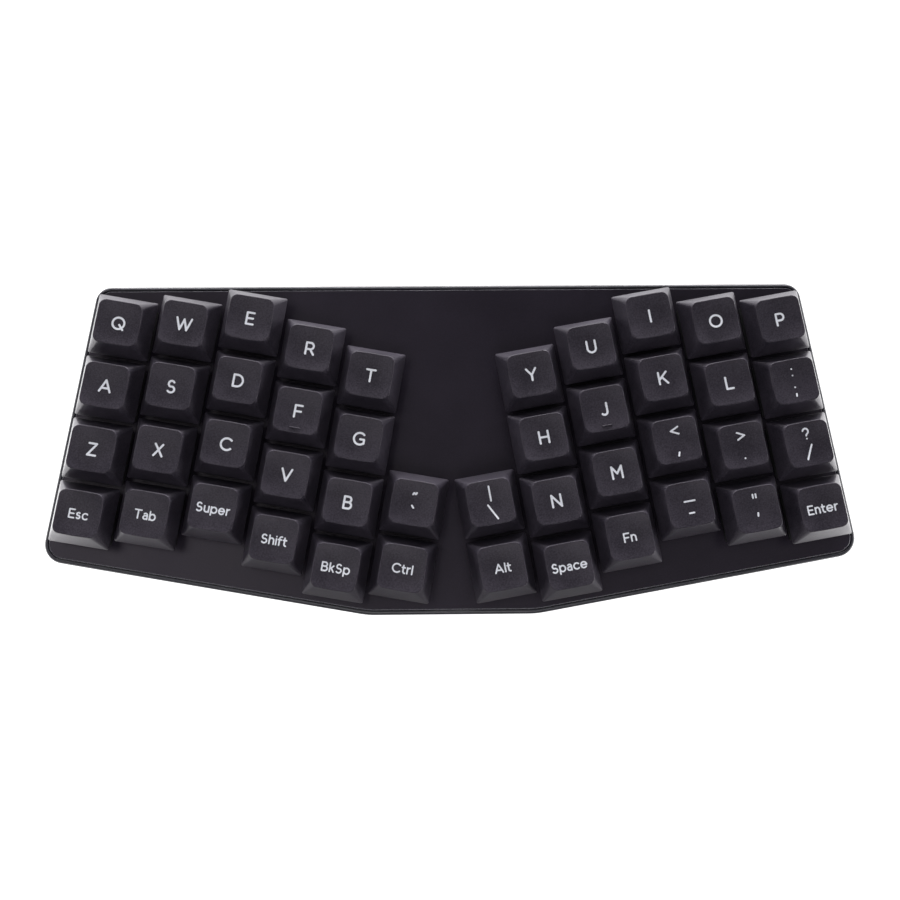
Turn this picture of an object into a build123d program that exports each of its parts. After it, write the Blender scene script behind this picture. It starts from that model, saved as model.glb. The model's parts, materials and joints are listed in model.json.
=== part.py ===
from build123d import *
import os
from math import atan2, cos, degrees, hypot, radians, sin

# A one-piece ergonomic keyboard with 44 keys in two hands that are turned towards each other.
# Millimetres and degrees. +X is to the right, +Y is away from the typist, +Z is up.
# The origin is on the table, below the middle of the case.

os.makedirs("parts", exist_ok=True)

# Key layout. A hand's own u axis runs along its rows, from the little finger's column inwards,
# and its v axis runs along its columns, away from the typist.
key_pitch = 19.05
hand_angle = 10.0
column_steps = (3.0, 6.0, 11.0, 5.0, 0.0, 3.0)  # v of each column's top row, outer column first
hand_origin_x = -98.85  # left hand's point u = 0, v = 0
hand_origin_y = 33.05
rows = 4
travel = 4.0  # of every key

left_columns = (
    ("q", "a", "z", "esc"),
    ("w", "s", "x", "tab"),
    ("e", "d", "c", "super"),
    ("r", "f", "v", "shift"),
    ("t", "g", "b", "backspace"),
    (None, None, "backtick", "ctrl"),
)
right_columns = (
    ("p", "semicolon", "slash", "enter"),
    ("o", "l", "period", "quote"),
    ("i", "k", "comma", "minus"),
    ("u", "j", "m", "fn"),
    ("y", "h", "n", "space"),
    (None, None, "backslash", "alt"),
)
homing_keys = ("f", "j")

# Heights above the table.
case_bottom_z = 1.7
floor_thickness = 2.5
plate_top_z = 14.6
plate_thickness = 1.5
plate_to_board = 5.0
board_thickness = 1.6
floor_top_z = case_bottom_z + floor_thickness
plate_bottom_z = plate_top_z - plate_thickness
board_top_z = plate_top_z - plate_to_board
board_bottom_z = board_top_z - board_thickness

# Case.
case_depth = 100.9
side_margin = 12.35  # from the outer column's centre line out to the case's side
front_margin = 15.3  # from the outer column's lowest key centre to the case's slanted front
wall_thickness = 2.6
rim_width = 1.15
plate_gap = 0.25
back_corner_radius = 5.0
side_corner_radius = 6.0
front_corner_radius = 26.0
rim_rounding = 0.9
rim_inner_rounding = 0.15
case_bottom_chamfer = 1.2
plate_edge_chamfer = 0.25

# Screws and standoffs. The spots are (u, v) in a hand, and the last one is on the centre line.
hand_screw_spots = ((9.5, 12.0), (59.0, 19.5), (38.1, -60.0), (-6.6, -63.9))
centre_screw_y = -42.85
boss_diameter = 5.0
boss_root = 0.5  # how far a boss reaches down into the floor
screw_shank_diameter = 1.9
screw_hole_diameter = 2.2
screw_head_diameter = 3.8
screw_head_height = 1.3
screw_head_rounding = 0.3
screw_socket_width = 1.3  # across the flats of the hexagon
screw_socket_depth = 0.8
screw_tip_below_plate = 0.9
counterbore_diameter = 4.3
counterbore_depth = 2.2
standoff_diameter = 3.5
standoff_bore_diameter = 2.0
standoff_bore_top = 0.4  # solid metal left above the bore
spigot_diameter = 2.8
spigot_height = 0.85
spigot_clearance = 0.05

# Feet.
foot_spots = ((100.0, 40.0), (106.0, -23.0), (23.0, -41.0))  # x and y of the right-hand three
foot_diameter = 10.0
foot_recess_depth = 0.8
foot_recess_clearance = 0.1
foot_rounding = 0.6

# Keycap. Heights from here to the switch pieces are above the top of the plate.
cap_gap_pressed = 2.5  # from the plate to the cap's skirt when the key is down
cap_base_z = travel + cap_gap_pressed
cap_height = 6.9
cap_base_width = 18.1
cap_top_width = 12.85
cap_base_corner = 0.6
cap_top_corner = 2.1
cap_wall = 1.25
cap_ceiling_z = 11.3
cap_dish_radius = 34.0
cap_socket_diameter = 5.5
cap_cross_top_z = 10.5
cross_clearance = 0.04
homing_bar = (3.2, 0.45, 0.32)  # length, width and height over the dish
homing_bar_corner = 0.15
homing_bar_v = -5.0

# Stem.
stem_shoulder_z = 6.6
stem_cross_top_z = 10.2
cross_arm_length = 4.0
cross_arm_widths = (1.3, 1.1)
stem_width = 7.0
stem_depth = 5.2
stem_corner = 0.4
stem_bottom_z = 0.9
stem_wing_width = 8.8
stem_wing_depth = 3.0
stem_wing_top_z = 5.3
spring_pocket_diameter = 4.9
spring_pocket_top_z = 4.6
stem_pin_diameter = 1.8
stem_pin_bottom_z = -1.4
stem_leg = (1.0, 0.8, 0.5)  # width, depth and drop of the two cam legs
stem_leg_spacing = 3.2

# Switch housings.
cutout_width = 14.0
housing_width = 13.9
housing_corner = 0.5
flange_width = 15.6
flange_thickness = 1.0
flange_corner = 0.6
housing_cavity = (12.0, 11.2)
housing_floor_z = -4.0
clip_width = 4.0
clip_reach = 0.25
clip_top_z = -1.55
clip_bottom_z = -2.4
guide_tube_diameter = 3.5
guide_bore_diameter = 2.2
guide_tube_top_z = -0.4
guide_bore_bottom_z = -7.0
centre_post_diameter = 3.9
post_bottom_z = -8.2
side_pin_diameter = 1.7
side_pin_spacing = 5.08
roof_base_width = 14.2
roof_base_depth = 14.6
roof_draw_in = 1.9  # at the top, on each side
roof_top_z = 6.6
roof_thickness = 1.0
roof_wall = 0.8
roof_opening = (7.6, 6.1)
roof_edge_chamfer = 0.3
window_size = (6.4, 2.2, 0.45)  # the moulded light window: width, height and depth
window_z = 3.6

# Springs and contacts.
spring_outer_diameter = 4.4
spring_wire = 0.25
contact_spots = ((-3.81, 2.54), (2.54, 5.08))
contact_pin = (1.0, 0.3)
contact_pin_bottom_z = -7.9
pin_slot_clearance = 0.1
leaf_thickness = 0.2
leaf_top_z = 0.6
moving_leaf_x = (-5.2, -0.6)
moving_leaf_y = 4.3
fixed_leaf_x = (0.6, 4.6)

# Circuit board and what is soldered to it.
board_clearance = 0.5
centre_post_hole = 4.1
side_pin_hole = 1.9
contact_hole = 3.0
socket_height = 1.85
socket_left_block = ((-6.2, 0.6), (1.0, 4.6))
socket_right_block = ((-1.2, 4.9), (2.9, 7.1))
socket_left_tab = ((-8.2, -6.2), (1.7, 3.5))
socket_right_tab = ((4.9, 6.9), (4.1, 5.9))
socket_tab_height = 1.0
socket_sleeve_diameter = 2.9
socket_sleeve_height = 1.3
socket_bore_diameter = 1.5
socket_bore_bottom_z = -8.1
socket_post_relief = 4.9
diode_v = -5.6
diode_body = (2.7, 1.6, 1.15)
diode_lead = (0.6, 0.9, 0.25)
diode_lead_root = 0.3  # of a lead inside the body
diode_gap = 0.05  # from the board to the body
chip_spot = (0.0, 20.0)
chip_width = 10.0
chip_height = 1.0
chip_lead_count = 11
chip_lead_pitch = 0.8
chip_lead = (1.0, 0.35, 0.5)
chip_lead_root = 0.1
chip_gap = 0.1
crystal_spot = (-9.5, 12.0)
crystal_size = (3.2, 2.5, 0.8)
regulator_spot = (9.0, 32.0)
regulator_size = (6.5, 3.5, 1.6)
capacitor_size = (2.0, 1.25, 0.9)
capacitor_spots = ((-8.8, 16.6), (8.8, 16.6), (-8.8, 23.4), (8.8, 23.4), (-4.0, 31.0), (4.0, 36.0))
resistor_size = (1.6, 0.8, 0.45)
resistor_spots = ((-3.0, 35.5), (-3.0, 37.5), (3.0, 11.0), (5.5, 11.0))

# USB-C receptacle under the board's back edge, and the opening for the plug's moulded grip.
usb_x = 0.0
usb_shell_width = 8.94
usb_shell_height = 3.26
usb_shell_length = 7.35
usb_shell_corner = 1.2
usb_shell_wall = 0.3
usb_mouth_gap = 0.3  # from the wall's inner face back to the receptacle's mouth
usb_tongue = (6.69, 4.45, 0.7)
usb_tongue_block_length = 2.2
usb_block_clearance = 0.05
usb_tab = (0.3, 1.0, 1.4)
usb_tab_slot_clearance = 0.15
usb_tab_rows = (1.4, 5.6)  # distances back from the mouth
plug_opening = (12.6, 6.8)
plug_opening_corner = 1.0

# Reset switch under the board.
reset_spot = (0.0, 2.0)
reset_hole_diameter = 2.2
reset_body_width = 5.2
reset_body_height = 1.6
reset_chamber_diameter = 4.0
reset_chamber_top = 0.4  # material left above the chamber
reset_lip = 0.3
reset_stem_diameter = 2.4
reset_stem_clearance = 0.1
reset_flange_diameter = 3.6
reset_flange_height = 0.35
reset_flange_lift = 0.05
reset_stem_bottom_z = 5.7

# How far a cut runs past the face that it opens, and how near a level an edge has to lie.
overshoot = 1.0
level_tolerance = 0.001

angle = radians(hand_angle)
side_turn = {"left": -hand_angle, "right": hand_angle}


def hand_point(u, v):
    """A point of the left hand in the keyboard's own x and y."""
    x = hand_origin_x + u * cos(angle) + v * sin(angle)
    y = hand_origin_y - u * sin(angle) + v * cos(angle)
    return x, y


def on_side(point, side):
    """The point itself for the left hand, and its mirror image for the right hand."""
    x, y = point
    return (x, y) if side == "left" else (-x, y)


def box_between(x_span, y_span, z_span):
    """A box from its two limits along each axis."""
    size = [high - low for low, high in (x_span, y_span, z_span)]
    middle = [(high + low) / 2 for low, high in (x_span, y_span, z_span)]
    return Pos(*middle) * Box(*size)


def rod(spot, diameter, z_span):
    """A vertical cylinder at a spot in x and y."""
    low, high = z_span
    return Pos(*spot, (low + high) / 2) * Cylinder(diameter / 2, high - low)


def tapered_block(base, base_corner, base_z, top, top_corner, top_z):
    """A straight-sided block between two rounded rectangles at two heights."""
    lower = Pos(0, 0, base_z) * RectangleRounded(*base, base_corner)
    upper = Pos(0, 0, top_z) * RectangleRounded(*top, top_corner)
    return loft([lower, upper], ruled=True)


def key_places():
    """Every key's name with the place and turn of its switch on the top of the plate."""
    places = {}
    for side, columns in (("left", left_columns), ("right", right_columns)):
        for column, names in enumerate(columns):
            for row, name in enumerate(names):
                if name is None:
                    continue
                point = hand_point(column * key_pitch, column_steps[column] - row * key_pitch)
                x, y = on_side(point, side)
                places[name] = Location((x, y, plate_top_z), (0, 0, side_turn[side]))
    return places


def screw_places():
    """The x and y of every case screw."""
    spots = [on_side(hand_point(*spot), side) for side in ("left", "right") for spot in hand_screw_spots]
    return spots + [(0.0, centre_screw_y)]


def foot_places():
    """The x and y of every foot."""
    return [(x * sign, y) for x, y in foot_spots for sign in (-1, 1)]


def case_outline(inset):
    """The case's outline seen from above, drawn in by inset all round, as a flat face."""
    side_u = inset - side_margin
    front_v = column_steps[0] - (rows - 1) * key_pitch - front_margin + inset
    back_y = case_depth / 2 - inset
    front_y = inset - case_depth / 2
    back_v = (back_y - hand_origin_y + side_u * sin(angle)) / cos(angle)
    front_u = (hand_origin_y + front_v * cos(angle) - front_y) / sin(angle)
    left = [hand_point(side_u, back_v), hand_point(side_u, front_v), hand_point(front_u, front_v)]
    right = [on_side(point, "right") for point in reversed(left)]
    face = make_face(Polyline(*left, *right, close=True))
    radii = (front_corner_radius, side_corner_radius, back_corner_radius)
    for level, radius in enumerate(radii):
        corners = face.vertices().sort_by(Axis.Y)
        drawn = {0: corners[:2], 1: corners[4:6], 2: corners[-2:]}[level]
        face = fillet(drawn, radius - inset)
    return face


def slab(inset, z_span):
    """The case outline, drawn in by inset, as a slab between two heights."""
    low, high = z_span
    return Pos(0, 0, low) * extrude(case_outline(inset), high - low)


def edges_at(shape, z):
    """The edges of a shape that lie in the level plane z."""
    return shape.edges().filter_by_position(Axis.Z, z - level_tolerance, z + level_tolerance)


def keycap(with_bar):
    """A low uniform keycap with a shallow spherical dish and a round socket for the stem's cross."""
    top_z = cap_base_z + cap_height
    base, top = (cap_base_width, cap_base_width), (cap_top_width, cap_top_width)
    outer = tapered_block(base, cap_base_corner, cap_base_z, top, cap_top_corner, top_z)
    corner_reach = hypot(1, 1) * (cap_top_width / 2 - cap_top_corner) + cap_top_corner
    dish_depth = cap_dish_radius - (cap_dish_radius**2 - corner_reach**2) ** 0.5
    dish_centre_z = top_z - dish_depth + cap_dish_radius
    # The sphere lies on its side, which keeps its poles and its seam away from the dish.
    outer -= Pos(0, 0, dish_centre_z) * Rot(90, 0, 0) * Sphere(cap_dish_radius)

    shrink = (cap_base_width - cap_top_width) * (cap_ceiling_z - cap_base_z) / cap_height
    inner_base = cap_base_width - 2 * cap_wall
    inner_top = inner_base - shrink
    hollow = tapered_block(
        (inner_base, inner_base), cap_base_corner, cap_base_z,
        (inner_top, inner_top), cap_top_corner, cap_ceiling_z,
    )
    cap = outer - hollow
    cap += rod((0, 0), cap_socket_diameter, (stem_shoulder_z, cap_ceiling_z))
    cap -= stem_cross(stem_shoulder_z, cap_cross_top_z, cross_clearance)
    if with_bar:
        length, width, height = homing_bar
        surface_z = dish_centre_z - (cap_dish_radius**2 - homing_bar_v**2) ** 0.5
        bar = box_between(
            (-length / 2, length / 2),
            (homing_bar_v - width / 2, homing_bar_v + width / 2),
            (surface_z - height, surface_z + height),
        )
        cap += fillet(bar.edges().filter_by(Axis.Z), homing_bar_corner)
    return cap


def stem_cross(low, high, clearance):
    """The cross on the stem, or with a clearance, the hole for it in the keycap."""
    half = cross_arm_length / 2 + clearance
    wide, narrow = (width / 2 + clearance for width in cross_arm_widths)
    along = box_between((-half, half), (-wide, wide), (low, high))
    across = box_between((-narrow, narrow), (-half, half), (low, high))
    return along + across


def stem():
    """The switch's slider, with its cross, guide wings, spring pocket, guide pin and cam legs."""
    half_width, half_depth = stem_width / 2, stem_depth / 2
    body = box_between((-half_width, half_width), (-half_depth, half_depth), (stem_bottom_z, stem_shoulder_z))
    body = fillet(body.edges().filter_by(Axis.Z), stem_corner)
    wing_x, wing_y = stem_wing_width / 2, stem_wing_depth / 2
    body += box_between((-wing_x, wing_x), (-wing_y, wing_y), (stem_bottom_z, stem_wing_top_z))
    leg_width, leg_depth, leg_drop = stem_leg
    for sign in (-1, 1):
        middle = sign * stem_leg_spacing / 2
        body += box_between(
            (middle - leg_width / 2, middle + leg_width / 2),
            (half_depth - leg_depth, half_depth + leg_depth),
            (stem_bottom_z - leg_drop, stem_wing_top_z),
        )
    body -= rod((0, 0), spring_pocket_diameter, (stem_bottom_z - overshoot, spring_pocket_top_z))
    body += rod((0, 0), stem_pin_diameter, (stem_pin_bottom_z, spring_pocket_top_z))
    return body + stem_cross(stem_shoulder_z, stem_cross_top_z, 0)


def lower_housing():
    """The switch's lower housing: a cup that clips into the plate, with its flange and pegs."""
    half = housing_width / 2
    board_z = -plate_to_board
    body = box_between((-half, half), (-half, half), (board_z, 0))
    body = fillet(body.edges().filter_by(Axis.Z), housing_corner)
    flange = box_between(*[(-flange_width / 2, flange_width / 2)] * 2, (0, flange_thickness))
    body += fillet(flange.edges().filter_by(Axis.Z), flange_corner)
    for sign in (-1, 1):
        reach = sorted((sign * half, sign * (half + clip_reach)))
        body += box_between(reach, (-clip_width / 2, clip_width / 2), (clip_bottom_z, clip_top_z))
    cavity_x, cavity_y = (size / 2 for size in housing_cavity)
    body -= box_between((-cavity_x, cavity_x), (-cavity_y, cavity_y), (housing_floor_z, flange_thickness))
    body += rod((0, 0), guide_tube_diameter, (housing_floor_z, guide_tube_top_z))
    body += rod((0, 0), centre_post_diameter, (post_bottom_z, board_z))
    body -= rod((0, 0), guide_bore_diameter, (guide_bore_bottom_z, guide_tube_top_z))
    for sign in (-1, 1):
        body += rod((sign * side_pin_spacing, 0), side_pin_diameter, (post_bottom_z, board_z))
    slot_x, slot_y = (size / 2 + pin_slot_clearance for size in contact_pin)
    for x, y in contact_spots:
        body -= box_between((x - slot_x, x + slot_x), (y - slot_y, y + slot_y), (board_z, housing_floor_z))
    return body


def tapered_box(base_width, base_depth, z_span, draw_in):
    """A flat-sided block whose top is drawn in by the same amount on all four sides."""
    low, high = z_span
    lean = degrees(atan2(draw_in, high - low))
    return Pos(0, 0, low) * extrude(Rectangle(base_width, base_depth), high - low, taper=lean)


def upper_housing():
    """The switch's upper housing: a tapered roof with an opening for the stem."""
    roof = tapered_box(roof_base_width, roof_base_depth, (flange_thickness, roof_top_z), roof_draw_in)
    roof = chamfer(edges_at(roof, roof_top_z), roof_edge_chamfer)
    inner_top_z = roof_top_z - roof_thickness
    lean = roof_draw_in / (roof_top_z - flange_thickness)
    roof -= tapered_box(
        roof_base_width - 2 * roof_wall,
        roof_base_depth - 2 * roof_wall,
        (flange_thickness, inner_top_z),
        lean * (inner_top_z - flange_thickness),
    )
    opening_x, opening_y = (size / 2 for size in roof_opening)
    opening_z = (inner_top_z - overshoot, roof_top_z + overshoot)
    roof -= box_between((-opening_x, opening_x), (-opening_y, opening_y), opening_z)
    width, height, depth = window_size
    face_y = -roof_base_depth / 2 + lean * (window_z - height / 2 - flange_thickness)
    roof -= box_between(
        (-width / 2, width / 2),
        (face_y - overshoot, face_y + depth),
        (window_z - height / 2, window_z + height / 2),
    )
    return roof


def spring():
    """The return spring's space as a sleeve, from the housing's floor to the stem's pocket."""
    span = (housing_floor_z, spring_pocket_top_z)
    inner = spring_outer_diameter - 2 * spring_wire
    return rod((0, 0), spring_outer_diameter, span) - rod((0, 0), inner, span)


def contacts():
    """The two contact leaves of a switch with the pins below them."""
    pin_x, pin_y = (size / 2 for size in contact_pin)
    foot_top_z = housing_floor_z + leaf_thickness
    leaves = []
    for (x, y), leaf_x, leaf_y in zip(
        contact_spots, (moving_leaf_x, fixed_leaf_x), (moving_leaf_y, contact_spots[1][1])
    ):
        leaf = box_between((x - pin_x, x + pin_x), (y - pin_y, y + pin_y), (contact_pin_bottom_z, foot_top_z))
        foot_y = sorted((y - pin_y, leaf_y + leaf_thickness / 2))
        leaf += box_between((x - pin_x, x + pin_x), foot_y, (housing_floor_z, foot_top_z))
        blade_y = (leaf_y - leaf_thickness / 2, leaf_y + leaf_thickness / 2)
        leaf += box_between(leaf_x, blade_y, (housing_floor_z, leaf_top_z))
        leaves.append(leaf)
    return leaves


def hot_swap_socket():
    """The socket under the board that grips the two pins of a switch."""
    top_z = -plate_to_board - board_thickness
    bottom_z = top_z - socket_height
    body = box_between(*socket_left_block, (bottom_z, top_z))
    body += box_between(*socket_right_block, (bottom_z, top_z))
    body -= rod((0, 0), socket_post_relief, (bottom_z, top_z))
    for tab in (socket_left_tab, socket_right_tab):
        body += box_between(*tab, (top_z - socket_tab_height, top_z))
    for spot in contact_spots:
        body += rod(spot, socket_sleeve_diameter, (top_z, top_z + socket_sleeve_height))
        body -= rod(spot, socket_bore_diameter, (socket_bore_bottom_z, top_z + socket_sleeve_height))
    return body


def diode():
    """A small surface-mounted diode under the board, beside its switch."""
    top_z = -plate_to_board - board_thickness
    length, width, height = diode_body
    lead_length, lead_width, lead_height = diode_lead
    body_top_z = top_z - diode_gap
    body = box_between(
        (-length / 2, length / 2),
        (diode_v - width / 2, diode_v + width / 2),
        (top_z - height, body_top_z),
    )
    for sign in (-1, 1):
        reach = sorted((sign * (length / 2 - diode_lead_root), sign * (length / 2 + lead_length)))
        body += box_between(
            reach, (diode_v - lead_width / 2, diode_v + lead_width / 2), (top_z - lead_height, top_z)
        )
    return body


def bottom_case():
    """The tray: floor, walls, rim round the plate, screw bosses, foot recesses and openings."""
    body = slab(0, (case_bottom_z, plate_top_z))
    body = chamfer(edges_at(body, case_bottom_z), case_bottom_chamfer)
    body = fillet(edges_at(body, plate_top_z), rim_rounding)
    body -= slab(rim_width, (plate_bottom_z, plate_top_z + overshoot))
    rim_face = body.faces().sort_by(Axis.Z)[-1]
    body = fillet(rim_face.inner_wires()[0].edges(), rim_inner_rounding)
    body -= slab(wall_thickness, (floor_top_z, plate_top_z))
    for spot in screw_places():
        body += rod(spot, boss_diameter, (floor_top_z - boss_root, board_bottom_z))
    for spot in screw_places():
        body -= rod(spot, screw_hole_diameter, (case_bottom_z, board_bottom_z))
        body -= rod(spot, counterbore_diameter, (case_bottom_z, case_bottom_z + counterbore_depth))
    recess_diameter = foot_diameter + 2 * foot_recess_clearance
    for spot in foot_places():
        body -= rod(spot, recess_diameter, (case_bottom_z, case_bottom_z + foot_recess_depth))
    body -= rod(reset_spot, reset_hole_diameter, (case_bottom_z, floor_top_z))
    return body - plug_passage()


def usb_mouth_y():
    """Where the receptacle's mouth is, just inside the back wall."""
    return case_depth / 2 - wall_thickness - usb_mouth_gap


def usb_centre_z():
    """The height of the receptacle's middle, under the board."""
    return board_bottom_z - usb_shell_height / 2


def plug_passage():
    """The opening through the back wall for the plug's moulded grip."""
    width, height = plug_opening
    profile = Plane.XZ * RectangleRounded(width, height, plug_opening_corner)
    length = case_depth / 2 - usb_mouth_y() + overshoot
    passage = extrude(profile, -length)
    return Pos(usb_x, usb_mouth_y(), usb_centre_z()) * passage


def top_plate():
    """The flat metal plate with a square cut-out for each switch and blind holes underneath."""
    body = slab(rim_width + plate_gap, (plate_bottom_z, plate_top_z))
    body = chamfer(edges_at(body, plate_top_z), plate_edge_chamfer)
    cutout_z = (-plate_thickness - overshoot, overshoot)
    cutout = box_between(*[(-cutout_width / 2, cutout_width / 2)] * 2, cutout_z)
    body -= [cutout.moved(place) for place in key_places().values()]
    hole_diameter = spigot_diameter + 2 * spigot_clearance
    hole_span = (plate_bottom_z, plate_bottom_z + spigot_height + spigot_clearance)
    return body - [rod(spot, hole_diameter, hole_span) for spot in screw_places()]


def standoff(spot):
    """A threaded standoff clinched into the plate, standing on the board."""
    body = rod(spot, standoff_diameter, (board_top_z, plate_bottom_z))
    body += rod(spot, spigot_diameter, (plate_bottom_z, plate_bottom_z + spigot_height))
    bore_top_z = plate_bottom_z - standoff_bore_top
    return body - rod(spot, standoff_bore_diameter, (board_top_z, bore_top_z))


def case_screw(spot):
    """A socket-head screw from below the case up into its standoff."""
    head_top_z = case_bottom_z + counterbore_depth
    head_span = (head_top_z - screw_head_height, head_top_z)
    body = rod(spot, screw_head_diameter, head_span)
    body = fillet(body.faces().sort_by(Axis.Z)[0].edges(), screw_head_rounding)
    body += rod(spot, screw_shank_diameter, (head_top_z, plate_bottom_z - screw_tip_below_plate))
    hexagon = RegularPolygon(screw_socket_width / 2, 6, major_radius=False)
    recess = extrude(hexagon, screw_socket_depth)
    return body - Pos(*spot, head_span[0]) * recess


def rubber_foot(spot):
    """A round rubber foot with a softened lower edge."""
    body = rod(spot, foot_diameter, (0, case_bottom_z + foot_recess_depth))
    return fillet(body.faces().sort_by(Axis.Z)[0].edges(), foot_rounding)


def circuit_board():
    """The board with its holes for switches, screws and the receptacle's tabs."""
    face = case_outline(wall_thickness + board_clearance)
    holes = []
    for place in key_places().values():
        x, y, _ = place.position
        flat = Location((x, y, 0), (0, 0, place.orientation.Z))
        holes.append(flat * Circle(centre_post_hole / 2))
        for sign in (-1, 1):
            holes.append(flat * Pos(sign * side_pin_spacing, 0) * Circle(side_pin_hole / 2))
        for spot in contact_spots:
            holes.append(flat * Pos(*spot) * Circle(contact_hole / 2))
    for spot in screw_places():
        holes.append(Pos(*spot) * Circle(screw_hole_diameter / 2))
    thickness, length, _ = usb_tab
    slot = Rectangle(thickness + 2 * usb_tab_slot_clearance, length + 2 * usb_tab_slot_clearance)
    for x, y in usb_tab_spots():
        holes.append(Pos(x, y) * slot)
    return Pos(0, 0, board_bottom_z) * extrude(face - holes, board_thickness)


def usb_tab_spots():
    """Where the receptacle's four tabs go up into the board."""
    offset = usb_shell_width / 2 - usb_tab[0] / 2
    return [(usb_x + sign * offset, usb_mouth_y() - back) for sign in (-1, 1) for back in usb_tab_rows]


def usb_receptacle():
    """The receptacle as two solids: its metal shell, and the plastic block with the tongue."""
    mouth_y, middle_z = usb_mouth_y(), usb_centre_z()
    outer = RectangleRounded(usb_shell_width, usb_shell_height, usb_shell_corner)
    inner_width = usb_shell_width - 2 * usb_shell_wall
    inner_height = usb_shell_height - 2 * usb_shell_wall
    inner_corner = usb_shell_corner - usb_shell_wall
    inner = RectangleRounded(inner_width, inner_height, inner_corner)
    at_mouth = Pos(usb_x, mouth_y, middle_z)
    shell = at_mouth * extrude(Plane.XZ * outer, usb_shell_length)
    shell -= at_mouth * extrude(Plane.XZ * inner, usb_shell_length - usb_shell_wall)
    thickness, length, rise = usb_tab
    for x, y in usb_tab_spots():
        shell += box_between(
            (x - thickness / 2, x + thickness / 2),
            (y - length / 2, y + length / 2),
            (middle_z, board_bottom_z + rise),
        )
    back_y = mouth_y - usb_shell_length + usb_shell_wall + usb_block_clearance
    block_profile = RectangleRounded(
        inner_width - 2 * usb_block_clearance,
        inner_height - 2 * usb_block_clearance,
        inner_corner - usb_block_clearance,
    )
    block_start = Pos(usb_x, back_y + usb_tongue_block_length, middle_z)
    block = block_start * extrude(Plane.XZ * block_profile, usb_tongue_block_length)
    tongue_width, tongue_length, tongue_height = usb_tongue
    block_y = back_y + usb_tongue_block_length
    block += box_between(
        (usb_x - tongue_width / 2, usb_x + tongue_width / 2),
        (block_y, block_y + tongue_length),
        (middle_z - tongue_height / 2, middle_z + tongue_height / 2),
    )
    return [shell, block]


def under_board(spot, size):
    """A small block soldered under the board."""
    x, y = spot
    length, width, height = size
    return box_between(
        (x - length / 2, x + length / 2),
        (y - width / 2, y + width / 2),
        (board_bottom_z - height, board_bottom_z),
    )


def controller_chip():
    """The controller chip with a row of leads on each side."""
    x, y = chip_spot
    lead_length, lead_width, lead_drop = chip_lead
    body = Pos(x, y, board_bottom_z - chip_gap - chip_height / 2) * Box(chip_width, chip_width, chip_height)
    first = -(chip_lead_count - 1) / 2 * chip_lead_pitch
    lead = box_between(
        (chip_width / 2 - chip_lead_root, chip_width / 2 + lead_length),
        (-lead_width / 2, lead_width / 2),
        (board_bottom_z - lead_drop, board_bottom_z),
    )
    for quarter in range(4):
        for index in range(chip_lead_count):
            step = Pos(0, first + index * chip_lead_pitch, 0)
            body += Pos(x, y, 0) * Rot(0, 0, 90 * quarter) * step * lead
    return body


def controller_electronics():
    """The chip, crystal, regulator, capacitors and resistors, each its own solid."""
    pieces = [controller_chip(), under_board(crystal_spot, crystal_size)]
    pieces.append(under_board(regulator_spot, regulator_size))
    pieces += [under_board(spot, capacitor_size) for spot in capacitor_spots]
    return pieces + [under_board(spot, resistor_size) for spot in resistor_spots]


def reset_body():
    """The reset switch's case with the chamber for its plunger."""
    body = under_board(reset_spot, (reset_body_width, reset_body_width, reset_body_height))
    bottom_z = board_bottom_z - reset_body_height
    chamber = (bottom_z + reset_lip, board_bottom_z - reset_chamber_top)
    body -= rod(reset_spot, reset_chamber_diameter, chamber)
    bore_diameter = reset_stem_diameter + 2 * reset_stem_clearance
    return body - rod(reset_spot, bore_diameter, (bottom_z, bottom_z + reset_lip))


def reset_plunger():
    """The reset switch's plunger, held in the chamber by its flange."""
    flange_z = board_bottom_z - reset_body_height + reset_lip + reset_flange_lift
    body = rod(reset_spot, reset_flange_diameter, (flange_z, flange_z + reset_flange_height))
    return body + rod(reset_spot, reset_stem_diameter, (reset_stem_bottom_z, flange_z))


def save(name, shapes):
    """Writes one node as the separate solids of its shapes."""
    solids = [solid for shape in shapes for solid in shape.solids()]
    export_step(Compound(solids), f"parts/{name}.step")


def at_every_key(shapes):
    """A copy of the shapes at each switch."""
    return [shape.moved(place) for place in key_places().values() for shape in shapes]


def main():
    plain_cap, homing_cap, slider = keycap(False), keycap(True), stem()
    for name, place in key_places().items():
        cap = homing_cap if name in homing_keys else plain_cap
        save(f"key_{name}", [cap.moved(place), slider.moved(place)])

    save("switch_lower_housings", at_every_key([lower_housing()]))
    save("switch_upper_housings", at_every_key([upper_housing()]))
    save("switch_springs", at_every_key([spring()]))
    save("switch_contacts", at_every_key(contacts()))
    save("hot_swap_sockets", at_every_key([hot_swap_socket()]))
    save("switch_diodes", at_every_key([diode()]))

    save("bottom_case", [bottom_case()])
    save("top_plate", [top_plate()])
    save("plate_standoffs", [standoff(spot) for spot in screw_places()])
    save("case_screws", [case_screw(spot) for spot in screw_places()])
    save("rubber_feet", [rubber_foot(spot) for spot in foot_places()])
    save("circuit_board", [circuit_board()])
    save("controller_electronics", controller_electronics())
    save("usb_receptacle", usb_receptacle())
    save("reset_switch_body", [reset_body()])
    save("reset_plunger", [reset_plunger()])


main()
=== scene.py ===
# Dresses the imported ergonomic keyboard: keycaps, lettering, springs, finishes, light and camera.
# Metres, in the part's own frame: +X to the right, +Y away from the typist, +Z up.
import json
from math import cos, hypot, pi, radians, sin, sqrt

import bmesh
import bpy
import numpy as np
from mathutils import Euler, Matrix, Vector

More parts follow.
